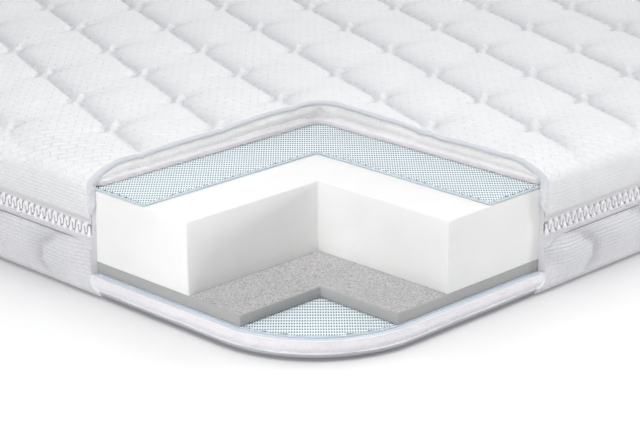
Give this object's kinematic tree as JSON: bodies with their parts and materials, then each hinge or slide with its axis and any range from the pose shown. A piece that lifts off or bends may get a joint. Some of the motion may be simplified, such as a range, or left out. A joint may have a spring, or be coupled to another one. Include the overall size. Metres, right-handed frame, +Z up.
{
  "type": "foam mattress with layer cutaway",
  "caption": "Low foam mattress in a quilted knit cover that zips all round, one corner cut back in steps to show its foam, felt, spacer mesh and wadding.",
  "frame": {"origin": "on the floor under the middle of the mattress: centre of the bottom of its bounding box", "axes": "+X along the length, +Y across the width, +Z up; the cut-back corner is at -X and -Y, and the zip is closed by sliding towards +X along the -Y side"},
  "size_m": [2, 1.4, 0.16],
  "materials": {
    "core_foam": "fine open-cell foam, matt",
    "support_felt": "dense grey felt with pale and dark specks, matt",
    "spacer_mesh": "pale blue perforated spacer knit",
    "fleece": "soft combed fibre, matt",
    "wadding": "loose fibre wadding, matt",
    "cover_knit": "quilted double knit, soft sheen",
    "base_knit": "quilted border knit, matt",
    "zip_tape": "ribbed woven tape",
    "zip_teeth": "moulded white, satin",
    "zip_metal": "satin plated"
  },
  "bodies": {
    "mattress": {"foam_core": "core_foam", "support_layer": "support_felt", "lower_spacer_mesh": "spacer_mesh", "upper_spacer_mesh": "spacer_mesh", "top_cover_lining": "fleece", "top_cover_wadding": "wadding", "top_cover_fabric": "cover_knit", "bottom_cover_lining": "fleece", "bottom_cover_wadding": "wadding", "bottom_cover_fabric": "base_knit", "upper_front_tape": "zip_tape", "upper_round_tape": "zip_tape", "lower_front_tape": "zip_tape", "lower_round_tape": "zip_tape", "upper_front_teeth": "zip_teeth", "upper_round_teeth": "zip_teeth", "lower_front_teeth": "zip_teeth", "lower_round_teeth": "zip_teeth", "zip_end_patch": "zip_tape", "upper_end_stop": "zip_teeth", "lower_end_stop": "zip_teeth", "start_stop": "zip_teeth"},
    "slider": {"zip_slider": "zip_metal"},
    "pull": {"zip_pull": "zip_metal"}
  },
  "joints": [
    {"name": "slider_travel", "type": "slide", "parent": "mattress", "child": "slider", "axis": [-1, 0, 0], "range_m": [0, 1.37]},
    {"name": "pull_flip", "type": "hinge", "parent": "slider", "child": "pull", "pos_m": [0.784, -0.69695, 0.078], "axis": [0, 0, 1], "range_deg": [0, 178]}
  ]
}
